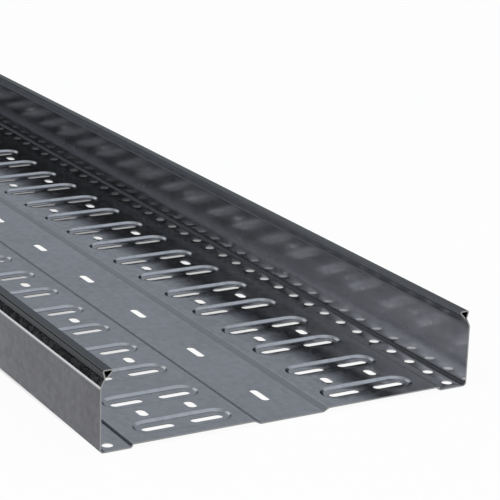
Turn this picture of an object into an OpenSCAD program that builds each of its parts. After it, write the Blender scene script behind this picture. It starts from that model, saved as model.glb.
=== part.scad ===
// Perforated cable tray, roll-formed from one strip of pre-galvanised sheet.
// Origin at the middle of the underside, X along the tray, Y across, Z up.

/* [Tray] */
// Length of one tray as it is sold
tray_l = 2000; // [1000:100:3000]
// Clear width between the two walls
inner_w = 300; // [290:5:340]
// Height over the rim
tray_h = 60; // [56:1:80]
// Thickness of the sheet
sheet_t = 1; // [0.8:0.05:1.2]
// Outer radius of the bend between base and wall
corner_r = 3; // [2:0.1:4]

/* [Base] */
// Height of the two raised fields above the flat strips
field_h = 2.4; // [2:0.1:3]
// Width of the flat strip along the middle
mid_strip_w = 52; // [48:1:56]
// Width of the flat strip along each wall, to the outside of the wall
edge_strip_w = 23.8; // [22:0.2:26]
// Width of the gentle slope on a field's inner side, seen from above
inner_slope_w = 4.5; // [3.5:0.1:6]
// Radius of the bends at the inner slopes on the middle of the sheet
inner_slope_r = 4; // [2:0.5:5]
// Width of the steeper slope on a field's outer side, seen from above
outer_slope_w = 1.2; // [1:0.1:2.5]
// Radius of the bends at the outer slopes on the middle of the sheet
outer_slope_r = 1.5; // [1:0.1:1.8]

/* [Ribs] */
// Distance from one rib to the next
rib_pitch = 50; // [48:1:56]
// Distance from the near end to the first rib
first_rib = 22.5; // [18:0.5:25]
// Sheet left between a field's inner edge and a rib
rib_in_gap = 8; // [6:0.5:12]
// Sheet left between a rib and a field's outer edge
rib_out_gap = 11.5; // [9:0.5:14]
// Width of a rib at the field's surface
rib_w = 24; // [22:0.5:27]
// Depth of a rib below the field's surface
rib_depth = 1.7; // [1.4:0.1:2]
// Width of the slope around a rib, seen from above
rib_slope_w = 2.2; // [1.8:0.1:2.8]

/* [Perforation] */
// Width of the slots in and between the ribs
slot_w = 7; // [6:0.25:8.5]
// Sheet left between the two slots of a rib
slot_bridge = 13.5; // [12:0.5:16]
// Distance from the end of a rib to its nearer slot
slot_end_gap = 6.25; // [5:0.25:9]
// Width of the slots along the middle strip
mid_slot_w = 6.3; // [5:0.1:8]
// Length of the slots along the middle strip
mid_slot_l = 23.5; // [19:0.5:26]
// Length of the short slots between the ribs
short_slot_l = 13; // [11:0.5:15]
// Diameter of the round holes along the walls
edge_hole_d = 8; // [6:0.25:9]
// Distance of the round holes from the outside of the wall
edge_hole_in = 10.5; // [9.5:0.5:13]

/* [Rim] */
// Height of the folded rim
rim_h = 6.4; // [5.6:0.1:7.4]
// Width of the folded rim at its top
rim_w = 9.3; // [8:0.1:10.5]
// How far the wall leans in below the rim
neck_in = 3.1; // [2.5:0.1:4]
// Height of the leaning part of the wall
lean_h = 6; // [5:0.5:9]
// How far the rim's top stands back from the outside of the wall
rim_set_back = 1.5; // [1:0.1:2]
// Radius of the rim's bends on the middle of the sheet
rim_r = 1; // [0.8:0.1:1.2]
// Radius of the bend where the wall starts to lean
lean_r = 3; // [2:0.5:5]
// Gap between the rim's free edge and the wall
rim_gap = 0.3; // [0.2:0.1:0.8]

/* [Hidden] */
$fn = 48;
half_w = inner_w / 2 + sheet_t;
field_in = mid_strip_w / 2 + inner_slope_w;
field_out = half_w - edge_strip_w - outer_slope_w;
field_top = sheet_t + field_h;
rib_l = field_out - field_in - rib_in_gap - rib_out_gap;
rib_mid = field_in + rib_in_gap + rib_l / 2;
rib_floor = field_top - rib_depth;
slot_l = (rib_l - slot_bridge) / 2 - slot_end_gap;
row_gap = slot_l + slot_bridge;
over = sheet_t / 2;
near_end = -tray_l / 2;
ribs = floor((tray_l - first_rib - rib_w / 2) / rib_pitch) + 1;
bays = floor(ribs / 2);
edge_pitch = rib_pitch / 2;
edge_first = first_rib - edge_pitch / 2;
edge_holes = floor((tray_l - edge_first - edge_hole_d) / edge_pitch) + 1;
rib_grade = rib_slope_w / rib_depth;
rib_skin = sheet_t * sqrt(1 + rib_grade * rib_grade);
zinc = "#8b8e95";

// Direction of the line from a to b, as an angle
function heading(a, b) = atan2(b[1] - a[1], b[0] - a[0]);

// Angle brought between -180 and 180 degrees
function turned(a) = a > 180 ? a - 360 : a < -180 ? a + 360 : a;

// Points on one side of a sheet that follows a path, o to the left of its middle
function bend_side(p, a, b, r, o) =
  let (h = heading(a, p), w = turned(heading(p, b) - h), s = sign(w))
  let (c = p - r * tan(abs(w) / 2) * [cos(h), sin(h)] + s * r * [-sin(h), cos(h)])
  let (n = max(2, ceil(abs(w) / 18)))
  [for (i = [0:n]) let (q = h + w * i / n) c + (r * s - o) * [sin(q), -cos(q)]];

// Point at one end of the path, o to the left of its middle
function end_side(p, h, o) = p + o * [-sin(h), cos(h)];

// One whole side of the sheet along a path with a radius at each inner point
function path_side(p, r, o) = [
  end_side(p[0], heading(p[0], p[1]), o),
  for (i = [1:len(p) - 2]) each bend_side(p[i], p[i - 1], p[i + 1], r[i], o),
  end_side(p[len(p) - 1], heading(p[len(p) - 2], p[len(p) - 1]), o)
];

// Same points, last one first
function backwards(v) = [for (i = [len(v) - 1:-1:0]) v[i]];

// Sheet of even thickness along a path
module rolled_sheet(p, r) {
  polygon(concat(path_side(p, r, sheet_t / 2), backwards(path_side(p, r, -sheet_t / 2))));
}

// Base from bend to bend: edge strips, raised fields and middle strip
module base_section() {
  low = sheet_t / 2;
  high = low + field_h;
  half = [
    [half_w - corner_r, low],
    [half_w - edge_strip_w, low],
    [field_out, high],
    [field_in, high],
    [mid_strip_w / 2, low]
  ];
  other = [for (p = backwards(half)) [-p[0], p[1]]];
  bends = [0, outer_slope_r, outer_slope_r, inner_slope_r, inner_slope_r];
  rolled_sheet(concat(half, other), concat(bends, backwards(bends)));
}

// Bend between base and wall, a true quarter ring
module corner_section() {
  translate([half_w - corner_r, corner_r])
    intersection() {
      difference() {
        circle(r = corner_r);
        circle(r = corner_r - sheet_t);
      }
      translate([0, -corner_r])
        square(corner_r);
    }
}

// Wall with the lean below the rim and the rim folded inward into a hollow triangle
module wall_section() {
  face = half_w - sheet_t / 2;
  top = tray_h - sheet_t / 2;
  neck = tray_h - rim_h;
  path = [
    [face, corner_r],
    [face, neck - lean_h],
    [face - neck_in, neck],
    [face - rim_set_back, top],
    [face - rim_set_back - rim_w + sheet_t, top],
    [face - neck_in - sheet_t - rim_gap, neck + rim_gap]
  ];
  rolled_sheet(path, [0, lean_r, rim_r, rim_r, rim_r, 0]);
}

// Whole cross-section of the tray
module section() {
  base_section();
  for (s = [0, 1])
    mirror([s, 0])
      union() {
        corner_section();
        wall_section();
      }
}

// Body with sloped sides and half-round ends, its half section given from the middle outward
module trough(half, l) {
  far = [for (p = half) [-p[0], p[1]]];
  rotate([90, 0, 0])
    linear_extrude(height = l, center = true)
      polygon(concat(half, backwards(far)));
  for (a = [0, 180])
    rotate([0, 0, a])
      translate([0, l / 2, 0])
        rotate_extrude(angle = 180)
          polygon(concat(half, [[0, half[1][1]], [0, half[0][1]]]));
}

// Metal under a rib, from the middle of the field's sheet down to the underside of its floor
module rib_metal() {
  low = rib_floor - sheet_t;
  high = field_top - sheet_t / 2;
  base = rib_w / 2 - rib_slope_w + rib_skin;
  trough([
    [base - rib_grade * sheet_t, low],
    [base + rib_grade * (high - rib_floor), high]
  ], rib_l - rib_w);
}

// Hollow of a rib, open to above
module rib_hollow() {
  high = field_top + over;
  base = rib_w / 2 - rib_slope_w;
  trough([
    [base, rib_floor],
    [base + rib_grade * (high - rib_floor), high]
  ], rib_l - rib_w);
}

// Slot with round ends along X, cut through the sheet whose underside is at z low
module slot(l, w, low) {
  translate([0, 0, low - over])
    linear_extrude(height = sheet_t + 2 * over)
      union() {
        square([l - w, w], center = true);
        for (s = [-1, 1])
          translate([s * (l - w) / 2, 0])
            circle(d = w);
      }
}

// Places for the ribs of both fields
module at_ribs() {
  for (i = [0:ribs - 1])
    for (s = [-1, 1])
      translate([near_end + first_rib + i * rib_pitch, s * rib_mid, 0])
        children();
}

// Places between the first and second rib of each bay
module at_bays() {
  for (i = [0:bays - 1])
    translate([near_end + first_rib + (2 * i + 0.5) * rib_pitch, 0, 0])
      children();
}

// All the slots and holes of the base
module perforation() {
  at_ribs()
    for (s = [-1, 1])
      translate([0, s * row_gap / 2, 0])
        rotate([0, 0, 90])
          slot(slot_l, slot_w, rib_floor - sheet_t);
  at_bays()
    slot(mid_slot_l, mid_slot_w, 0);
  at_bays()
    for (f = [-1, 1], s = [-1, 1])
      translate([0, f * rib_mid + s * row_gap / 2, 0])
        slot(short_slot_l, slot_w, field_h);
  for (i = [0:edge_holes - 1], s = [-1, 1])
    translate([near_end + edge_first + i * edge_pitch, s * (half_w - edge_hole_in), -over])
      cylinder(d = edge_hole_d, h = sheet_t + 2 * over);
}

// The tray, one piece of sheet
module tray() {
  color(zinc)
    difference() {
      union() {
        rotate([90, 0, 90])
          linear_extrude(height = tray_l, center = true)
            section();
        at_ribs()
          rib_metal();
      }
      at_ribs()
        rib_hollow();
      perforation();
    }
}

tray();
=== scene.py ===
"""Perforated cable tray of galvanised sheet, dressed over its CAD frame.

The tray is one roll-formed strip. One repeat of its perforation is meshed as a
sheet of even thickness, with rounded slopes, pressed ribs and punched holes, and
Geometry Nodes lay the repeats end to end.
"""
from __future__ import annotations

import logging
import math
from dataclasses import dataclass, field
from enum import Enum

import bpy
from mathutils import Matrix, Vector
from mathutils.geometry import delaunay_2d_cdt


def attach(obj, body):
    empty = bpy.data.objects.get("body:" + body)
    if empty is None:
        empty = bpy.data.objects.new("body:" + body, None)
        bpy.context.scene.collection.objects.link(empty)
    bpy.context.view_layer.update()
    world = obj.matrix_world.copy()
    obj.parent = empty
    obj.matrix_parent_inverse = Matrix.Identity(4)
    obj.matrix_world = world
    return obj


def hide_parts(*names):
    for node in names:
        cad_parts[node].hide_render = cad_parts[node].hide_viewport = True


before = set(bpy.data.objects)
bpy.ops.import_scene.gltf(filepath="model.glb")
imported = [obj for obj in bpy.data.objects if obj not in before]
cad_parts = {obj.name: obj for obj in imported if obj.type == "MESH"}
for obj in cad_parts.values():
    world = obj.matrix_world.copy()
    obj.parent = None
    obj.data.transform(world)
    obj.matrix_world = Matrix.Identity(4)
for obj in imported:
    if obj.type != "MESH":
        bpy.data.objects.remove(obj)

LOG = logging.getLogger("cable_tray")
MM = 0.001
TINY = 1e-6  # a length in mm that counts as nothing

Point = tuple[float, float, float]
Face = tuple[int, ...]
Colour = tuple[float, float, float]
Socket = bpy.types.NodeSocket


def put(name: str, data: bpy.types.ID) -> bpy.types.Object:
    """Put an object with the given data into the scene."""
    thing = bpy.data.objects.new(name, data)
    bpy.context.collection.objects.link(thing)
    return thing


class Side(Enum):
    """The two halves of the tray, left and right of its long middle plane."""

    LEFT = 1
    RIGHT = -1


class Skin(Enum):
    """The two faces of the sheet, the walls of its punched holes and its sawn edges."""

    INSIDE = "inside"
    OUTSIDE = "outside"
    PUNCHED = "punched"
    CUT = "cut"


class Run(Enum):
    """Direction that a slot runs in."""

    ALONG = 0
    ACROSS = 1


@dataclass(frozen=True)
class Station:
    """A point on the middle of the sheet, seen in the tray's cross-section, in mm."""

    y: float
    z: float
    heading: float  # direction of the sheet there, in radians from +Y towards +Z

    def normal(self) -> tuple[float, float]:
        """Return the direction across the sheet, towards the channel."""
        return -math.sin(self.heading), math.cos(self.heading)

    def skin(self, offset: float) -> tuple[float, float]:
        """Return the point that lies offset mm from the middle of the sheet."""
        across = self.normal()
        return self.y + offset * across[0], self.z + offset * across[1]


@dataclass
class SheetSection:
    """Cross-section of one half of the tray, from the middle to the folded rim.

    Sizes are in mm and follow the CAD source.
    """

    sheet: float = 1.0
    half_width: float = 151.0
    height: float = 60.0
    corner_radius: float = 3.0
    field_rise: float = 2.4
    mid_strip_half: float = 26.0
    edge_strip: float = 23.8
    inner_slope: float = 4.5
    inner_radius: float = 4.0
    outer_slope: float = 1.2
    outer_radius: float = 1.5
    rim_height: float = 6.4
    rim_width: float = 9.3
    rim_set_back: float = 1.5
    neck_in: float = 3.1
    rim_gap: float = 0.3
    lean_height: float = 6.0
    lean_radius: float = 3.0
    rim_radius: float = 1.0
    arc_step: float = math.radians(11.0)  # largest turn of one flat in a bend

    @property
    def low(self) -> float:
        """Height of the middle of the sheet in the flat strips."""
        return self.sheet / 2

    @property
    def high(self) -> float:
        """Height of the middle of the sheet in the raised fields."""
        return self.low + self.field_rise

    def corners(self) -> list[tuple[float, float, float]]:
        """Return the path's corners as y, z and bend radius."""
        face = self.half_width - self.sheet / 2
        top = self.height - self.sheet / 2
        neck = self.height - self.rim_height
        lip = face - self.neck_in - self.sheet - self.rim_gap
        edge = self.half_width - self.edge_strip
        return [
            (0.0, self.low, 0.0),
            (self.mid_strip_half, self.low, self.inner_radius),
            (self.mid_strip_half + self.inner_slope, self.high, self.inner_radius),
            (edge - self.outer_slope, self.high, self.outer_radius),
            (edge, self.low, self.outer_radius),
            (face, self.low, self.corner_radius - self.sheet / 2),
            (face, neck - self.lean_height, self.lean_radius),
            (face - self.neck_in, neck, self.rim_radius),
            (face - self.rim_set_back, top, self.rim_radius),
            (face - self.rim_set_back - self.rim_width + self.sheet, top, self.rim_radius),
            (lip, neck + self.rim_gap, 0.0),
        ]

    def bend(self, before: Vector, at: Vector, after: Vector, radius: float) -> list[Station]:
        """Round one corner of the path.

        Args:
            before: Corner before this one.
            at: The corner to round.
            after: Corner after this one.
            radius: Bend radius on the middle of the sheet.

        Returns:
            Stations on the arc, its two ends included.
        """
        into, out = (at - before).normalized(), (after - at).normalized()
        turn = math.atan2(into.x * out.y - into.y * out.x, into.dot(out))
        start = math.atan2(into.y, into.x)
        sign = math.copysign(1.0, turn)
        centre = at - into * radius * math.tan(abs(turn) / 2)
        centre = centre + Vector((-into.y, into.x)) * sign * radius
        steps = max(2, math.ceil(abs(turn) / self.arc_step))
        arc = []
        for i in range(steps + 1):
            heading = start + turn * i / steps
            spoke = Vector((math.sin(heading), -math.cos(heading))) * sign * radius
            arc.append(Station(centre.x + spoke.x, centre.y + spoke.y, heading))
        return arc

    def half_path(self) -> list[Station]:
        """Return the stations of the half section, from the middle to the rim's free edge."""
        corners = self.corners()
        spots = [Vector((y, z)) for y, z, _ in corners]
        path: list[Station] = []
        for i in range(1, len(corners) - 1):
            path += self.bend(spots[i - 1], spots[i], spots[i + 1], corners[i][2])
        last = spots[-1] - spots[-2]
        path.append(Station(spots[-1].x, spots[-1].y, math.atan2(last.y, last.x)))
        return path

    def base_and_wall(self) -> tuple[list[Station], list[Station]]:
        """Split the half section where the bend between base and wall begins.

        Returns:
            Stations of the base and stations of the wall, which share one.
        """
        path = self.half_path()
        start = self.half_width - self.corner_radius
        cut = next(i for i, s in enumerate(path) if s.y > start - TINY)
        return path[: cut + 1], path[cut:]


@dataclass
class SheetMesh:
    """Points in mm and faces of a stretch of sheet."""

    points: list[Point] = field(default_factory=list)
    faces: list[Face] = field(default_factory=list)
    skins: list[Skin] = field(default_factory=list)  # the skin that each face belongs to

    def add(self, skin: Skin, *corners: int) -> None:
        """Add one face."""
        self.faces.append(corners)
        self.skins.append(skin)

    def join(self, other: SheetMesh) -> None:
        """Add the points and faces of another stretch."""
        start = len(self.points)
        self.points += other.points
        self.faces += [tuple(i + start for i in face) for face in other.faces]
        self.skins += other.skins

    def turn_inside_out(self) -> None:
        """Turn every face the other way round."""
        self.faces = [tuple(reversed(face)) for face in self.faces]

    def to_object(self, name: str) -> bpy.types.Object:
        """Make an object in the scene, in metres.

        Args:
            name: Name of the object and its mesh.

        Returns:
            The object, whose faces carry one attribute for each skin but the inside.
        """
        mesh = bpy.data.meshes.new(name)
        mesh.from_pydata([tuple(v * MM for v in p) for p in self.points], [], self.faces)
        for skin in (Skin.OUTSIDE, Skin.PUNCHED, Skin.CUT):
            mark = mesh.attributes.new(skin.value, "FLOAT", "FACE")
            mark.data.foreach_set("value", [float(own is skin) for own in self.skins])
        mesh.update()
        return put(name, mesh)


@dataclass
class Slot:
    """A punched slot, or a round hole where its length equals its width. Sizes are in mm."""

    x: float  # centre along the tray, from the start of the repeat
    y: float  # centre across the tray
    length: float
    width: float
    run: Run = Run.ALONG
    arc_steps: int = 10  # flats on each round end

    def outline(self, grow: float = 0.0) -> list[tuple[float, float]]:
        """Return the outline's points, counter-clockwise, with the edge moved out by grow mm."""
        radius, reach = self.width / 2 + grow, (self.length - self.width) / 2
        points = []
        for end, start in ((1, -math.pi / 2), (-1, math.pi / 2)):
            last = self.arc_steps if reach > TINY else self.arc_steps - 1
            for i in range(last + 1):
                angle = start + math.pi * i / self.arc_steps
                points.append((end * reach + radius * math.cos(angle), radius * math.sin(angle)))
        if self.run is Run.ACROSS:
            points = [(-v, u) for u, v in points]
        return [(self.x + u, self.y + v) for u, v in points]


@dataclass
class CrossRib:
    """A rib pressed down into a raised field, with sloped sides. Sizes are in mm."""

    x: float  # centre along the tray, from the start of the repeat
    y: float  # centre across the tray
    field: float  # height of the middle of the sheet in the field
    width: float = 24.0  # at the field's surface
    length: float = 76.0  # at the field's surface
    depth: float = 1.7  # below the field
    slope: float = 2.2  # width of the sloped side, seen from above
    edge_radius: float = 1.7  # of the pressed edges, on the middle of the sheet
    sheet: float = 1.0
    arc_steps: int = 10  # flats on each round end
    edge_steps: int = 3  # flats on each pressed edge

    def profile(self) -> list[tuple[float, float, float]]:
        """Return the sloped side as distance inward, height and tilt.

        Returns:
            One entry for each ring of the mesh, from the field to the rib's floor.
        """
        angle = math.atan2(self.depth, self.slope)
        tangent = self.edge_radius * math.tan(angle / 2)
        start = -self.sheet / 2 * math.tan(angle / 2)
        run = self.depth / math.tan(angle)
        rings = []
        for i in range(self.edge_steps + 1):
            tilt = angle * i / self.edge_steps
            inward = start - tangent + self.edge_radius * math.sin(tilt)
            rings.append((inward, self.field - self.edge_radius * (1 - math.cos(tilt)), tilt))
        for i in range(self.edge_steps + 1):
            tilt = angle * (1 - i / self.edge_steps)
            inward = start + run + tangent - self.edge_radius * math.sin(tilt)
            floor = self.field - self.depth
            rings.append((inward, floor + self.edge_radius * (1 - math.cos(tilt)), tilt))
        return rings

    def ring(self, inward: float) -> list[tuple[float, float, float, float]]:
        """Return one ring around the rib.

        Args:
            inward: Distance from the rib's outline, in mm.

        Returns:
            Points as x, y and the direction outward from the rib, counter-clockwise.
        """
        radius, reach = self.width / 2 - inward, (self.length - self.width) / 2
        points = []
        for end, start in ((1, 0.0), (-1, math.pi)):
            for i in range(self.arc_steps + 1):
                angle = start + math.pi * i / self.arc_steps
                u, v = math.cos(angle), math.sin(angle)
                points.append((self.x + radius * u, self.y + end * reach + radius * v, u, v))
        return points


@dataclass
class TrayRepeat:
    """One repeat of the tray: two ribs in each field and all the holes that go with them.

    Sizes are in mm and follow the CAD source.
    """

    section: SheetSection = field(default_factory=SheetSection)
    pitch: float = 100.0
    first_rib: float = 22.5
    rib_mid: float = 76.5
    slot_width: float = 7.0
    slot_length: float = 25.0
    slot_bridge: float = 13.5
    mid_slot_length: float = 23.5
    mid_slot_width: float = 6.3
    short_slot_length: float = 13.0
    edge_hole: float = 8.0
    edge_hole_in: float = 10.5
    edge_holes: int = 4
    lip: float = 0.2  # size of the small slope around the upper edge of each hole

    @property
    def rib_pitch(self) -> float:
        """Distance from one rib to the next."""
        return self.pitch / 2

    def ribs(self) -> list[CrossRib]:
        """Return the four ribs of the repeat."""
        return [
            CrossRib(self.first_rib + step * self.rib_pitch, side.value * self.rib_mid,
                     self.section.high, sheet=self.section.sheet)
            for step in (0, 1) for side in Side
        ]

    def slots(self) -> list[tuple[Slot, float]]:
        """Return the slots and holes, each with the height of the sheet's middle there."""
        cuts: list[tuple[Slot, float]] = []
        gap = (self.slot_length + self.slot_bridge) / 2
        bay = self.first_rib + self.rib_pitch / 2
        for rib in self.ribs():
            for step in (-gap, gap):
                slot = Slot(rib.x, rib.y + step, self.slot_length, self.slot_width, Run.ACROSS)
                cuts.append((slot, rib.field - rib.depth))
        for side in Side:
            for step in (-gap, gap):
                slot = Slot(bay, side.value * self.rib_mid + step,
                            self.short_slot_length, self.slot_width)
                cuts.append((slot, self.section.high))
            for i in range(self.edge_holes):
                x = self.first_rib + (i - 0.5) * self.pitch / self.edge_holes
                y = side.value * (self.section.half_width - self.edge_hole_in)
                cuts.append((Slot(x, y, self.edge_hole, self.edge_hole), self.section.low))
        cuts.append((Slot(bay, 0.0, self.mid_slot_length, self.mid_slot_width), self.section.low))
        return cuts

    def base_lines(self) -> list[Station]:
        """Return the stations of the whole base, from the right wall to the left wall."""
        half, _ = self.section.base_and_wall()
        other = [Station(-s.y, s.z, -s.heading) for s in reversed(half)]
        return other + half

    def mesh_base(self) -> SheetMesh:
        """Mesh the base of one repeat as a closed sheet with its holes.

        Returns:
            The base, open only at the repeat's ends and the wall bends.
        """
        flat: list[Vector] = []
        middle: list[tuple[float, Vector]] = []
        edges: list[tuple[int, int]] = []

        def add(x: float, y: float, z: float, normal: Vector) -> int:
            """Add one point of the flat layout and return its number."""
            flat.append(Vector((x, y)))
            middle.append((z, normal))
            return len(flat) - 1

        def close(ring: list[int]) -> None:
            """Join the points of a ring by edges."""
            edges.extend((a, b) for a, b in zip(ring, ring[1:] + ring[:1]))

        ends: list[list[int]] = [[], []]
        for station in self.base_lines():
            across = station.normal()
            normal = Vector((0.0, across[0], across[1]))
            pair = [add(x, station.y, station.z, normal) for x in (0.0, self.pitch)]
            edges.append((pair[0], pair[1]))
            for row, number in zip(ends, pair):
                row.append(number)
        for row in ends:
            edges.extend(zip(row, row[1:]))
        for rib in self.ribs():
            for inward, z, tilt in rib.profile():
                side, up = -math.sin(tilt), math.cos(tilt)
                close([add(x, y, z, Vector((u * side, v * side, up)))
                       for x, y, u, v in rib.ring(inward)])
        rims: list[tuple[Slot, list[int]]] = []
        for slot, z in self.slots():
            rim = [add(x, y, z, Vector((0.0, 0.0, 1.0))) for x, y in slot.outline(self.lip)]
            close(rim)
            rims.append((slot, rim))
        return self.lift(flat, middle, edges, rims)

    def lift(self, flat: list[Vector], middle: list[tuple[float, Vector]],
             edges: list[tuple[int, int]],
             rims: list[tuple[Slot, list[int]]]) -> SheetMesh:
        """Triangulate the flat layout and raise it into a sheet with two skins.

        Args:
            flat: Points of the layout.
            middle: Height and normal of the sheet at each point.
            edges: Edges that the triangles keep.
            rims: Each hole with its ring of points.

        Returns:
            The sheet with the walls of its holes.
        """
        spots, _, triangles, origins, _, _ = delaunay_2d_cdt(flat, edges, [], 0, TINY, True)
        source = [origin[0] for origin in origins]
        place = {old: new for new, old_list in enumerate(origins) for old in old_list}
        half = self.section.sheet / 2
        upper: list[Point] = []
        lower: list[Point] = []
        for spot, old in zip(spots, source):
            z, normal = middle[old]
            at = Vector((spot.x, spot.y, z))
            upper.append(tuple(at + normal * half))
            lower.append(tuple(at - normal * half))
        sheet, count = SheetMesh(upper + lower), len(upper)
        rings = [{place[i] for i in rim} for _, rim in rims]
        owner = {i: k for k, ring in enumerate(rings) for i in ring}
        for tri in triangles:
            holes = {owner.get(i) for i in tri}
            if len(holes) == 1 and None not in holes:
                continue
            a, b, c = (spots[i] for i in tri)
            turn = (b.x - a.x) * (c.y - a.y) - (b.y - a.y) * (c.x - a.x)
            top = tuple(tri) if turn > 0 else tuple(reversed(tri))
            sheet.add(Skin.INSIDE, *top)
            sheet.add(Skin.OUTSIDE, *(i + count for i in reversed(top)))
        for slot, rim in rims:
            numbers = [place[i] for i in rim]
            start = len(sheet.points)
            for (x, y), number in zip(slot.outline(), numbers):
                sheet.points.append((x, y, upper[number][2] - self.lip))
            total = len(numbers)
            for i in range(total):
                j = (i + 1) % total
                a, b, c, d = numbers[i], numbers[j], start + j, start + i
                sheet.add(Skin.INSIDE, a, b, c, d)
                sheet.add(Skin.PUNCHED, d, c, b + count, a + count)
        return sheet

    def mesh_wall(self, side: Side) -> SheetMesh:
        """Mesh one wall of the repeat, from its bend to the rim's free edge.

        Args:
            side: Which wall to mesh.

        Returns:
            The wall, open only at the repeat's ends and the base.
        """
        _, path = self.section.base_and_wall()
        half = self.section.sheet / 2
        wall = SheetMesh()
        for station in path:
            for offset in (half, -half):
                y, z = station.skin(offset)
                wall.points += [(x, side.value * y, z) for x in (0.0, self.pitch)]
        # Each station has four points: both ends of the inside, then both ends of the outside.
        for i in range(len(path) - 1):
            a, b = 4 * i, 4 * i + 4
            wall.add(Skin.INSIDE, a, a + 1, b + 1, b)
            wall.add(Skin.OUTSIDE, a + 2, b + 2, b + 3, a + 3)
        last = 4 * (len(path) - 1)
        wall.add(Skin.CUT, last, last + 1, last + 3, last + 2)
        if side is Side.RIGHT:
            wall.turn_inside_out()
        return wall

    def mesh_cut_end(self) -> SheetMesh:
        """Mesh the sawn end of the sheet, which faces -X.

        Returns:
            The bare cut through the whole section.
        """
        _, wall = self.section.base_and_wall()
        left = wall[1:]
        right = [Station(-s.y, s.z, -s.heading) for s in reversed(left)]
        path = right + self.base_lines() + left
        half = self.section.sheet / 2
        end = SheetMesh()
        for station in path:
            for offset in (half, -half):
                y, z = station.skin(offset)
                end.points.append((0.0, y, z))
        # Each station has two points: inside and outside.
        for i in range(len(path) - 1):
            end.add(Skin.CUT, 2 * i, 2 * i + 2, 2 * i + 3, 2 * i + 1)
        return end


@dataclass(frozen=True)
class Span:
    """A stretch over which something changes, from its start to its end."""

    start: float
    end: float


WHOLE = Span(0.0, 1.0)


@dataclass(frozen=True)
class Ramp:
    """A level that eases from one value to another towards a direction."""

    direction: Point
    span: Span  # cosines of the angle to it between which the level changes
    levels: tuple[float, float] = (0.0, 1.0)


@dataclass(frozen=True)
class NoiseLayer:
    """A noise in the zinc."""

    scale: Point  # along X, Y and Z, per metre
    detail: float
    effect: tuple[float, float]  # what it adds at the two ends of its span
    span: Span = WHOLE  # values of the noise between which the effect changes


@dataclass
class NodeKit:
    """Short calls that add shader nodes to one tree and return their outputs."""

    tree: bpy.types.NodeTree

    def plug(self, socket: Socket, value: Socket | float | tuple[float, ...]) -> None:
        """Link a value to an input, or set it there when it is a constant."""
        if isinstance(value, bpy.types.NodeSocket):
            self.tree.links.new(value, socket)
        else:
            socket.default_value = value

    def new(self, kind: str) -> bpy.types.Node:
        """Add a shader node."""
        return self.tree.nodes.new(f"ShaderNode{kind}")

    def place(self) -> Socket:
        """Return the place of a shaded point on its object."""
        return self.new("TexCoord").outputs["Object"]

    def split(self, where: Socket) -> tuple[Socket, Socket, Socket]:
        """Return the X, Y and Z of a place."""
        node = self.new("SeparateXYZ")
        self.plug(node.inputs["Vector"], where)
        return tuple(node.outputs)

    def math(self, operation: str, a: Socket | float, b: Socket | float = 0.0) -> Socket:
        """Combine two values."""
        node = self.new("Math")
        node.operation = operation
        self.plug(node.inputs[0], a)
        self.plug(node.inputs[1], b)
        return node.outputs["Value"]

    def level(self, value: Socket, span: Span, to: tuple[float, float] = (0.0, 1.0),
              smooth: bool = False) -> Socket:
        """Map a value to another range.

        Args:
            value: The value to map.
            span: Values that become to[0] and to[1].
            to: The new range.
            smooth: Whether the change eases in and out.

        Returns:
            The mapped value.
        """
        node = self.new("MapRange")
        node.interpolation_type = "SMOOTHSTEP" if smooth else "LINEAR"
        names = ("From Min", "From Max", "To Min", "To Max")
        for name, amount in zip(names, (span.start, span.end, *to)):
            node.inputs[name].default_value = amount
        self.plug(node.inputs["Value"], value)
        return node.outputs["Result"]

    def mix(self, factor: Socket, a: Socket | Colour, b: Socket | Colour) -> Socket:
        """Blend from colour a to colour b."""
        node = self.new("Mix")
        node.data_type = "RGBA"
        sockets = [socket for socket in node.inputs if socket.type == "RGBA"]
        for socket, colour in zip(sockets, (a, b)):
            self.plug(socket, (*colour, 1.0) if isinstance(colour, tuple) else colour)
        self.plug(node.inputs["Factor"], factor)
        return next(socket for socket in node.outputs if socket.type == "RGBA")

    def attribute(self, skin: Skin) -> Socket:
        """Return 1 on one skin of the sheet and 0 elsewhere."""
        node = self.new("Attribute")
        node.attribute_name = skin.value
        return node.outputs["Fac"]

    def noise(self, where: Socket, layer: NoiseLayer) -> Socket:
        """Add a noise and return its effect at a place."""
        mapping = self.new("Mapping")
        mapping.inputs["Scale"].default_value = layer.scale
        self.plug(mapping.inputs["Vector"], where)
        texture = self.new("TexNoise")
        texture.inputs["Scale"].default_value = 1.0
        texture.inputs["Detail"].default_value = layer.detail
        self.plug(texture.inputs["Vector"], mapping.outputs["Vector"])
        return self.level(texture.outputs["Fac"], layer.span, layer.effect)

    def toward(self, where: Socket, ramp: Ramp) -> Socket:
        """Return a ramp's level in a direction."""
        dot = self.new("VectorMath")
        dot.operation = "DOT_PRODUCT"
        dot.inputs[1].default_value = Vector(ramp.direction).normalized()
        self.plug(dot.inputs[0], where)
        return self.level(dot.outputs["Value"], ramp.span, ramp.levels, smooth=True)


@dataclass(frozen=True)
class BaseBend:
    """A bend along the base, the same on both sides of the tray, in metres."""

    middle: float  # distance from the long middle plane
    reach: float  # half its width
    top: float  # height up to which it counts
    core: float = 0.6  # share of its width that counts in full


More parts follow.
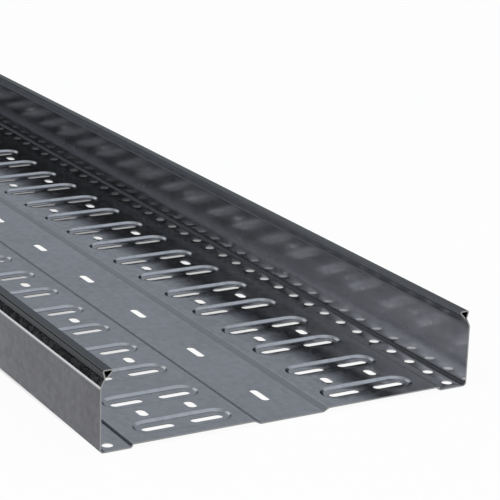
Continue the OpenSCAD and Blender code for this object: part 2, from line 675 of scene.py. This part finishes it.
@dataclass(frozen=True)
class SheetPlace:
    """Where a shaded point lies on the tray, in metres."""

    kit: NodeKit
    where: Socket
    aside: Socket  # distance from the long middle plane
    height: Socket

    @classmethod
    def on(cls, kit: NodeKit) -> SheetPlace:
        """Return the place of any point of a material."""
        where = kit.place()
        _, across, up = kit.split(where)
        return cls(kit, where, kit.math("ABSOLUTE", across), up)

    def above(self, span: Span) -> Socket:
        """Return 0 below a span of heights and 1 above it."""
        return self.kit.level(self.height, span, smooth=True)

    def beyond(self, span: Span) -> Socket:
        """Return 0 nearer to the middle plane than a span and 1 further out."""
        return self.kit.level(self.aside, span, smooth=True)

    def at_bend(self, bend: BaseBend) -> Socket:
        """Return 1 at a bend of the base and 0 away from it."""
        far = self.kit.math("ABSOLUTE", self.kit.math("SUBTRACT", self.aside, bend.middle))
        share = self.kit.level(far, Span(bend.reach, bend.reach * bend.core), smooth=True)
        return self.kit.math("MULTIPLY", share, self.kit.math("LESS_THAN", self.height, bend.top))


@dataclass(frozen=True)
class ZincPlaces:
    """Where the finish of the zinc changes, in metres.

    Heights are above the underside, distances are from the long middle plane.
    """

    slope: BaseBend = BaseBend(0.02825, 0.0042, 0.006)  # gentle, beside the middle strip
    slope_shade_line: BaseBend = BaseBend(0.0276, 0.0026, 0.006)  # its darker part, a painted shade line
    wall_bend: BaseBend = BaseBend(0.1492, 0.0024, 0.003)
    crease: tuple[float, float] = (0.1491, 0.0017)  # distance and height of its painted shade line
    crease_reach: Span = Span(0.0030, 0.0009)  # from no painted shade to full painted shade
    edge_holes: Span = Span(0.128, 0.132)  # distance
    foot_top: Span = Span(0.015, 0.026)  # height
    foot_side: Span = Span(0.1470, 0.1490)  # distance
    band_start: Span = Span(0.0105, 0.0150)  # height
    band_end: Span = Span(0.0190, 0.0280)  # height
    upper_wall: Span = Span(0.012, 0.032)  # height
    bow_start: float = 0.016  # height
    sag_start: float = 0.100  # distance
    neck: Span = Span(0.0445, 0.0480)  # height of the lean on the inside
    lean: Span = Span(0.0455, 0.0475)  # height of the lean on the outside
    rim: Span = Span(0.0525, 0.0540)  # height
    rim_side: Span = Span(0.1460, 0.1468)  # distance
    rim_top: Span = Span(0.0588, 0.0596)  # height


@dataclass(frozen=True)
class ZincFinish:
    """Smooth zinc of pre-galvanised sheet: faint spangle, rolling streaks and dull clouds."""

    name: str = "galvanised_zinc"
    places: ZincPlaces = ZincPlaces()
    tone: Colour = (0.400, 0.404, 0.432)  # plain zinc of the inside
    dull: Colour = (0.330, 0.334, 0.356)  # its dull clouds
    outside: Colour = (0.152, 0.151, 0.162)  # painted shade: underside and outside, darker than the inside for the shadowed floor they reflect
    outside_dull: Colour = (0.112, 0.111, 0.119)  # their dull clouds
    rim: Colour = (0.165, 0.166, 0.175)  # painted shade: the rim's inside, darker than the plain zinc
    rim_outside: Colour = (0.050, 0.051, 0.054)  # painted shade: darkest on the rim's outside, standing in for the shadowed floor it reflects
    # Painted shade: the rim's top, darker still.
    rim_top: Colour = (0.085, 0.086, 0.090)
    lean: Colour = (0.680, 0.687, 0.712)  # painted light: outside of the lean, lighter so that it reflects brighter
    neck: Colour = (0.200, 0.203, 0.214)  # painted shade: inside of the lean, darker just under the rim
    foot: Colour = (0.470, 0.475, 0.505)  # painted reflection: lighter inside low on each wall, which brightens the holes mirrored there
    punched: Colour = (0.120, 0.120, 0.122)  # painted shade: dark walls of the slots
    punched_edge: Colour = (0.480, 0.480, 0.485)  # painted light: lighter walls of the edge holes, which brighten them and their reflections
    steel: Colour = (0.300, 0.300, 0.300)  # sawn edges
    slope: Colour = (0.235, 0.243, 0.272)  # painted shade: dark line on the gentle slopes beside the middle strip
    crease: Colour = (0.080, 0.084, 0.094)  # painted shade: dark line along the bend inside each wall
    edge_tint: Colour = (0.760, 0.770, 0.790)  # tint at a flat angle
    rim_edge_tint: Colour = (0.550, 0.555, 0.565)  # the same on the rim's outside, lower as part of its painted shade
    metallic: float = 0.972
    bright_rough: float = 0.09  # roughness where the zinc is bright
    dull_rough: float = 0.18  # roughness where it is dull
    wall_rough: float = 0.03  # how much rougher the upper walls are
    band_rough: float = 0.10  # how much rougher the band low on each wall is
    bend_rough: float = 0.34  # how much rougher the bends are, where the zinc is stretched
    spangle_scale: float = 210.0  # crystals per metre
    flecks: tuple[float, float] = (-0.36, 0.36)  # how much duller a crystal can be
    clouds: NoiseLayer = NoiseLayer((14.0, 14.0, 14.0), 4.0, (0.15, 0.6), Span(0.3, 0.7))
    streaks: NoiseLayer = NoiseLayer((4.0, 420.0, 420.0), 3.0, (-0.15, 0.2), Span(0.3, 0.7))
    waves: NoiseLayer = NoiseLayer((6.0, 14.0, 14.0), 1.0, (0.0, 1.0))
    grain: NoiseLayer = NoiseLayer((900.0, 900.0, 900.0), 2.0, (0.0, 0.006))
    bump_strength: float = 0.6
    bump_height: float = 0.0004  # metres
    wall_lean: float = 0.0045  # how much the walls seem to lean in
    wall_bow: float = 0.42  # how much that grows per metre of height
    base_sag: float = 0.0070  # how much the base seems to fall towards the walls

    def build(self) -> bpy.types.Material:
        """Build the material's nodes.

        Returns:
            The finished material.
        """
        material = bpy.data.materials.new(self.name)
        material.use_nodes = True
        kit = NodeKit(material.node_tree)
        at = SheetPlace.on(kit)
        worn = self.worn(at)
        zinc = kit.mix(worn, self.tone, self.dull)
        outer = kit.attribute(Skin.OUTSIDE)
        colour = kit.mix(outer, self.inside_colour(at, zinc), self.outside_colour(at, zinc, worn))
        # Painted shade on the slots' walls, painted light on the edge holes' walls.
        punched = kit.mix(at.beyond(self.places.edge_holes), self.punched, self.punched_edge)
        colour = kit.mix(kit.attribute(Skin.PUNCHED), colour, punched)
        colour = kit.mix(kit.attribute(Skin.CUT), colour, self.steel)
        inputs = kit.tree.nodes["Principled BSDF"].inputs
        inputs["Metallic"].default_value = self.metallic
        kit.plug(inputs["Base Color"], colour)
        kit.plug(inputs["Specular Tint"], self.flat_tint(at, outer))
        kit.plug(inputs["Roughness"], self.roughness(at, worn))
        kit.plug(inputs["Normal"], self.relief(at, outer))
        return material

    def worn(self, at: SheetPlace) -> Socket:
        """Return how dull the zinc is, from its clouds, streaks and spangle."""
        kit = at.kit
        spangle = kit.new("TexVoronoi")
        spangle.inputs["Scale"].default_value = self.spangle_scale
        kit.plug(spangle.inputs["Vector"], at.where)
        crystal = kit.new("SeparateColor")
        kit.plug(crystal.inputs["Color"], spangle.outputs["Color"])
        flecks = kit.level(crystal.outputs["Red"], WHOLE, self.flecks)
        worn = kit.math("ADD", kit.noise(at.where, self.clouds), kit.noise(at.where, self.streaks))
        return kit.math("ADD", worn, flecks)

    def inside_colour(self, at: SheetPlace, zinc: Socket) -> Socket:
        """Return the colour of the inside, given that of the plain zinc."""
        kit, spots = at.kit, self.places
        # Painted shade: a dark line along each gentle slope beside the middle strip.
        colour = kit.mix(at.at_bend(spots.slope_shade_line), zinc, self.slope)
        # Painted shade on the inside of the lean, just under the rim.
        colour = kit.mix(at.above(spots.neck), colour, self.neck)
        # Painted reflection: a lighter band low on each wall.
        foot = kit.math("SUBTRACT", 1.0, at.above(spots.foot_top))
        foot = kit.math("MULTIPLY", foot, at.beyond(spots.foot_side))
        colour = kit.mix(foot, colour, self.foot)
        # Painted shade on the rim's inside.
        colour = kit.mix(at.above(spots.rim), colour, self.rim)
        # Painted shade along the bend inside each wall.
        return kit.mix(self.crease_shade(at), colour, self.crease)

    def crease_shade(self, at: SheetPlace) -> Socket:
        """Return how much painted shade lies along the bend inside each wall."""
        kit, (aside, height) = at.kit, self.places.crease
        across = kit.math("SUBTRACT", aside, at.aside)
        up = kit.math("SUBTRACT", at.height, height)
        far = kit.math("ADD", kit.math("MULTIPLY", across, across), kit.math("MULTIPLY", up, up))
        return kit.level(kit.math("SQRT", far), self.places.crease_reach)

    def outside_colour(self, at: SheetPlace, zinc: Socket, worn: Socket) -> Socket:
        """Return the colour of the outside, given that of the plain zinc and how dull it is."""
        kit, spots = at.kit, self.places
        # Painted shade: the outside is darker than the inside.
        colour = kit.mix(worn, self.outside, self.outside_dull)
        # Painted light on the outside of the lean.
        colour = kit.mix(at.above(spots.lean), colour, self.lean)
        # Painted shade on the rim's outside.
        rim = kit.mix(at.beyond(spots.rim_side), zinc, self.rim_outside)
        colour = kit.mix(at.above(spots.rim), colour, rim)
        # Painted shade on the rim's top.
        return kit.mix(at.above(spots.rim_top), colour, self.rim_top)

    def flat_tint(self, at: SheetPlace, outer: Socket) -> Socket:
        """Return the tint at a flat angle, where outer is 1 on the outside."""
        kit, spots = at.kit, self.places
        # Lower tint on the rim's outside, part of its painted shade.
        rim_outside_share = kit.math("SUBTRACT", at.above(spots.rim), at.above(spots.rim_top))
        rim_outside_share = kit.math("MULTIPLY", rim_outside_share, outer)
        return kit.mix(rim_outside_share, self.edge_tint, self.rim_edge_tint)

    def roughness(self, at: SheetPlace, worn: Socket) -> Socket:
        """Return the roughness, given how dull the zinc is."""
        kit, spots = at.kit, self.places
        wall = at.above(spots.upper_wall)
        band = kit.math("SUBTRACT", at.above(spots.band_start), at.above(spots.band_end))
        bends = kit.math("ADD", at.at_bend(spots.slope), at.at_bend(spots.wall_bend))
        rough = kit.level(worn, WHOLE, (self.bright_rough, self.dull_rough))
        more = ((wall, self.wall_rough), (band, self.band_rough), (bends, self.bend_rough))
        for share, amount in more:
            rough = kit.math("ADD", rough, kit.math("MULTIPLY", share, amount))
        return rough

    def relief(self, at: SheetPlace, outer: Socket) -> Socket:
        """Build the waves and grain of the sheet and the slight tilt of its inside.

        Args:
            at: Place on the tray.
            outer: 1 on the outside of the sheet and 0 elsewhere.

        Returns:
            The normal that the light sees.
        """
        kit, spots = at.kit, self.places
        bump = kit.new("Bump")
        bump.inputs["Strength"].default_value = self.bump_strength
        bump.inputs["Distance"].default_value = self.bump_height
        unit = self.bump_strength * self.bump_height
        lean = kit.math("MULTIPLY", at.height, self.wall_lean / unit)
        bow = kit.math("MAXIMUM", kit.math("SUBTRACT", at.height, spots.bow_start), 0.0)
        bow = kit.math("MULTIPLY", kit.math("MULTIPLY", bow, bow), self.wall_bow / (2 * unit))
        sag = kit.math("MAXIMUM", kit.math("SUBTRACT", at.aside, spots.sag_start), 0.0)
        sag = kit.math("MULTIPLY", sag, self.base_sag / unit)
        tilt = kit.math("SUBTRACT", kit.math("ADD", lean, bow), sag)
        tilt = kit.math("MULTIPLY", tilt, kit.math("SUBTRACT", 1.0, outer))
        fine = kit.math("ADD", kit.noise(at.where, self.waves), kit.noise(at.where, self.grain))
        kit.plug(bump.inputs["Height"], kit.math("ADD", fine, tilt))
        return bump.outputs["Normal"]


@dataclass
class TrayBody:
    """The whole tray: repeats laid end to end and closed by two sawn ends."""

    repeat: TrayRepeat = field(default_factory=TrayRepeat)
    finish: ZincFinish = field(default_factory=ZincFinish)
    name: str = "tray_sheet"
    length: float = 2000.0  # mm
    weld: float = 5e-6  # metres within which points of two repeats become one
    sharp_angle: float = math.radians(58.0)  # angle from which an edge stays sharp
    flat_weight: int = 90  # how much large faces count in the smooth shading, up to 100

    def repeat_object(self) -> bpy.types.Object:
        """Make the mesh of one repeat, base and both walls."""
        sheet = self.repeat.mesh_base()
        for side in Side:
            sheet.join(self.repeat.mesh_wall(side))
        return sheet.to_object("repeat_mesh")

    def tree(self) -> tuple[bpy.types.NodeTree, dict[str, str]]:
        """Build the node tree that lays the repeats in a row and closes the ends.

        Returns:
            The tree and the identifier of each named input.
        """
        tree = bpy.data.node_groups.new("lay_repeats", "GeometryNodeTree")
        panel = tree.interface
        kinds = {
            "Repeat": "NodeSocketObject", "Cut end": "NodeSocketObject", "Count": "NodeSocketInt",
            "Pitch": "NodeSocketFloat", "Length": "NodeSocketFloat", "Finish": "NodeSocketMaterial",
        }
        keys = {}
        for name, kind in kinds.items():
            keys[name] = panel.new_socket(name=name, in_out="INPUT", socket_type=kind).identifier
        panel.new_socket(name="Geometry", in_out="OUTPUT", socket_type="NodeSocketGeometry")
        given = tree.nodes.new("NodeGroupInput").outputs

        def add(kind: str, links: dict[str, Socket]) -> bpy.types.Node:
            """Add a node and link its named inputs."""
            node = tree.nodes.new(kind)
            for name, source in links.items():
                tree.links.new(source, node.inputs[name])
            return node

        def along(amount: Socket, factor: float) -> Socket:
            """Return a vector along X of amount times factor."""
            scale = add("ShaderNodeMath", {"Value": amount})
            scale.operation = "MULTIPLY"
            scale.inputs[1].default_value = factor
            return add("ShaderNodeCombineXYZ", {"X": scale.outputs[0]}).outputs["Vector"]

        row = add("GeometryNodeMeshLine", {
            "Count": given["Count"],
            "Start Location": along(given["Length"], -0.5),
            "Offset": along(given["Pitch"], 1.0),
        })
        one = add("GeometryNodeObjectInfo", {"Object": given["Repeat"]})
        laid = add("GeometryNodeInstanceOnPoints",
                   {"Points": row.outputs["Mesh"], "Instance": one.outputs["Geometry"]})
        end = add("GeometryNodeObjectInfo", {"Object": given["Cut end"]})
        join = add("GeometryNodeJoinGeometry", {"Geometry": laid.outputs["Instances"]})
        for factor in (-0.5, 0.5):
            move = add("GeometryNodeTransform", {
                "Geometry": end.outputs["Geometry"],
                "Translation": along(given["Length"], factor),
            })
            shape = move.outputs["Geometry"]
            if factor > 0:
                shape = add("GeometryNodeFlipFaces", {"Mesh": shape}).outputs["Mesh"]
            tree.links.new(shape, join.inputs["Geometry"])
        real = add("GeometryNodeRealizeInstances", {"Geometry": join.outputs["Geometry"]})
        weld = add("GeometryNodeMergeByDistance", {"Geometry": real.outputs["Geometry"]})
        weld.inputs["Distance"].default_value = self.weld
        paint = add("GeometryNodeSetMaterial",
                    {"Geometry": weld.outputs["Geometry"], "Material": given["Finish"]})
        add("NodeGroupOutput", {"Geometry": paint.outputs["Geometry"]})
        return tree, keys

    def build(self) -> bpy.types.Object:
        """Build the tray as one plain mesh.

        Returns:
            The finished object, at the origin.
        """
        repeat = self.repeat_object()
        cut = self.repeat.mesh_cut_end().to_object("cut_end_mesh")
        carrier = SheetMesh().to_object("carrier")
        tree, keys = self.tree()
        layout = carrier.modifiers.new("lay_repeats", "NODES")
        layout.node_group = tree
        values = {
            "Repeat": repeat, "Cut end": cut, "Count": round(self.length / self.repeat.pitch),
            "Pitch": self.repeat.pitch * MM, "Length": self.length * MM,
            "Finish": self.finish.build(),
        }
        for name, value in values.items():
            layout[keys[name]] = value
        mesh = self.plain_mesh(carrier)
        for helper in (carrier, repeat, cut):
            bpy.data.objects.remove(helper)
        tray = put(self.name, mesh)
        self.smooth(tray)
        return tray

    def plain_mesh(self, source: bpy.types.Object) -> bpy.types.Mesh:
        """Return the evaluated mesh of an object as plain data."""
        graph = bpy.context.evaluated_depsgraph_get()
        mesh = bpy.data.meshes.new_from_object(source.evaluated_get(graph))
        mesh.name = self.name
        return mesh

    def smooth(self, tray: bpy.types.Object) -> None:
        """Shade the bends smoothly while flats stay flat and punched edges crisp."""
        tray.data.shade_smooth()
        tray.data.set_sharp_from_angle(angle=self.sharp_angle)
        weigh = tray.modifiers.new("flats_first", "WEIGHTED_NORMAL")
        weigh.mode = "FACE_AREA"
        weigh.weight = self.flat_weight
        weigh.keep_sharp = True
        old = tray.data
        tray.data = self.plain_mesh(tray)
        tray.modifiers.clear()
        bpy.data.meshes.remove(old)

    def dress(self, tray: bpy.types.Object) -> None:
        """Hand the mesh over in place of the CAD node."""
        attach(tray, "root")
        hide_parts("tray")


@dataclass(frozen=True)
class FloorShade:
    """The tray's own soft shadow on the floor, deepest under the ribs and far from its ends.

    Lengths are in metres. Along the tray they count from its middle, across it from its
    long middle plane.
    """

    half_width: float = 0.1508
    fields: float = 0.68  # deepest shade under the raised fields
    fields_span: Span = Span(0.950, 0.480)  # along, from no shade to the deepest
    mid_strip: float = 0.15  # share of it under the middle strip
    mid_span: Span = Span(0.015, 0.050)  # across, from that share to all of it
    rib_gap: float = 0.15  # share of it halfway between two ribs
    rib_pitch: float = 0.050
    first_rib: float = -0.973
    edges: float = 0.93  # deepest shade under the edge strips
    edges_span: Span = Span(0.980, 0.460)  # along, from no shade to the deepest
    edges_start: float = 0.131  # across

    def light(self, kit: NodeKit) -> Socket:
        """Return how bright the floor is, from 0 to 1."""
        x, y, _ = kit.split(kit.place())
        along, across = kit.math("ABSOLUTE", x), kit.math("ABSOLUTE", y)
        shade = kit.level(along, self.fields_span, (0.0, self.fields))
        strip = kit.level(across, self.mid_span, (self.mid_strip, 1.0))
        turn = kit.math("SUBTRACT", x, self.first_rib)
        turn = kit.math("MULTIPLY", turn, math.tau / self.rib_pitch)
        ribs = kit.level(kit.math("COSINE", turn), Span(-1.0, 1.0), (self.rib_gap, 1.0))
        shade = kit.math("MULTIPLY", kit.math("MULTIPLY", shade, strip), ribs)
        edges = kit.level(along, self.edges_span, (0.0, self.edges))
        edges = kit.math("MULTIPLY", kit.math("GREATER_THAN", across, self.edges_start), edges)
        below = kit.math("LESS_THAN", across, self.half_width)
        shade = kit.math("MULTIPLY", kit.math("MAXIMUM", shade, edges), below)
        return kit.math("SUBTRACT", 1.0, shade)


@dataclass(frozen=True)
class RoomLight:
    """Soft light of a room that is dark low down behind the left wall."""

    sky: Ramp = Ramp((0.0, -0.35, 1.0), Span(0.70, 0.95), (0.54, 0.92))
    horizon: Ramp = Ramp((0.0, 0.0, 1.0), Span(0.11, 0.23), (0.22, 1.0))  # share left low down
    behind: Ramp = Ramp((0.80, 0.50, 0.30), Span(0.80, 0.97))  # part with its own light
    behind_light: Ramp = Ramp((0.0, 0.0, 1.0), Span(0.312, 0.370), (0.0, 1.42))
    side: Ramp = Ramp((0.0, 1.0, 0.0), Span(-0.3, 0.4))  # from one tint to the other
    right_tint: Colour = (0.93, 1.0, 1.06)
    left_tint: Colour = (0.98, 1.0, 0.99)

    def build(self) -> bpy.types.World:
        """Return a world that gives this light."""
        world = bpy.data.worlds.new("room")
        world.use_nodes = True
        kit = NodeKit(world.node_tree)
        where = kit.new("TexCoord").outputs["Generated"]
        sky = kit.math("MULTIPLY", kit.toward(where, self.sky), kit.toward(where, self.horizon))
        change = kit.math("SUBTRACT", kit.toward(where, self.behind_light), sky)
        change = kit.math("MULTIPLY", change, kit.toward(where, self.behind))
        tint = kit.mix(kit.toward(where, self.side), self.right_tint, self.left_tint)
        inputs = kit.tree.nodes["Background"].inputs
        kit.plug(inputs["Strength"], kit.math("ADD", sky, change))
        kit.plug(inputs["Color"], tint)
        return world


@dataclass
class Studio:
    """White floor, soft light from above and the photograph's camera.

    Lengths are in metres unless their names say otherwise.
    """

    shade: FloorShade = FloorShade()
    room: RoomLight = RoomLight()
    eye: Point = (-2.0692, 0.6574, 0.5091)
    right: Point = (-0.49181, -0.87014, 0.03133)
    down: Point = (-0.27036, 0.11841, -0.95545)
    focal_px: float = 1898.0
    image_px: float = 500.0
    sensor_mm: float = 36.0
    clip: Span = Span(0.05, 60.0)  # what the camera sees
    floor_reach: float = 14.0
    floor_drop: float = 0.0004
    paper: Colour = (0.94, 0.94, 0.94)
    glow: float = 0.95  # share of white that the camera and reflections see
    lamp_place: Point = (-1.2, 1.4, 2.2)
    lamp_size: tuple[float, float] = (2.4, 1.6)
    lamp_power: float = 10.0  # watts

    def camera(self) -> None:
        """Place the camera where the photograph was taken."""
        data = bpy.data.cameras.new("photo_camera")
        data.sensor_fit = "HORIZONTAL"
        data.sensor_width = self.sensor_mm
        data.lens = self.sensor_mm * self.focal_px / self.image_px
        data.clip_start, data.clip_end = self.clip.start, self.clip.end
        camera = put("photo_camera", data)
        right, up = Vector(self.right).normalized(), -Vector(self.down).normalized()
        back = right.cross(up)
        turn = Matrix((right, up, back)).transposed().to_4x4()
        camera.matrix_world = Matrix.Translation(Vector(self.eye)) @ turn
        bpy.context.scene.camera = camera

    def floor(self) -> None:
        """Lay the white floor, which keeps a soft shadow of the tray."""
        mesh = bpy.data.meshes.new("floor")
        signs = ((-1, -1), (1, -1), (1, 1), (-1, 1))
        corners = [(a * self.floor_reach, b * self.floor_reach, 0.0) for a, b in signs]
        mesh.from_pydata(corners, [], [(0, 1, 2, 3)])
        mesh.materials.append(self.floor_paper())
        floor = put("floor", mesh)
        floor.location.z = -self.floor_drop

    def floor_paper(self) -> bpy.types.Material:
        """Build the floor's material, which the camera and reflections see as white.

        Returns:
            The finished material.
        """
        material = bpy.data.materials.new("floor_paper")
        material.use_nodes = True
        kit = NodeKit(material.node_tree)
        kit.tree.nodes.clear()
        rays = kit.new("LightPath").outputs
        seen = kit.math("MAXIMUM", rays["Is Camera Ray"], rays["Is Glossy Ray"])
        seen = kit.math("MAXIMUM", seen, rays["Is Transmission Ray"])
        paper = kit.new("BsdfDiffuse")
        paper.inputs["Color"].default_value = (*self.paper, 1.0)
        glow = kit.new("Emission")
        glow.inputs["Color"].default_value = (1.0, 1.0, 1.0, 1.0)
        kit.plug(glow.inputs["Strength"], self.shade.light(kit))
        mix = kit.new("MixShader")
        kit.plug(mix.inputs["Fac"], kit.math("MULTIPLY", seen, self.glow))
        kit.plug(mix.inputs[1], paper.outputs["BSDF"])
        kit.plug(mix.inputs[2], glow.outputs["Emission"])
        out = kit.new("OutputMaterial")
        kit.plug(out.inputs["Surface"], mix.outputs["Shader"])
        return material

    def lamp(self) -> None:
        """Hang one large soft lamp over the camera's left shoulder."""
        data = bpy.data.lights.new("softbox", "AREA")
        data.shape = "RECTANGLE"
        data.size, data.size_y = self.lamp_size
        data.energy = self.lamp_power
        lamp = put("softbox", data)
        lamp.location = self.lamp_place
        lamp.rotation_euler = (-lamp.location).to_track_quat("-Z", "Y").to_euler()

    def build(self) -> None:
        """Set up the camera, floor and light."""
        self.camera()
        self.floor()
        self.lamp()
        bpy.context.scene.world = self.room.build()
        bpy.context.scene.view_settings.view_transform = "Standard"


def main() -> None:
    """Build the tray and the studio."""
    logging.basicConfig(level=logging.INFO)
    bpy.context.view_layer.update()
    body = TrayBody()
    tray = body.build()
    body.dress(tray)
    LOG.info("%s: %d triangles", tray.name, sum(len(p.vertices) - 2 for p in tray.data.polygons))
    Studio().build()


if __name__ == "__main__":
    main()
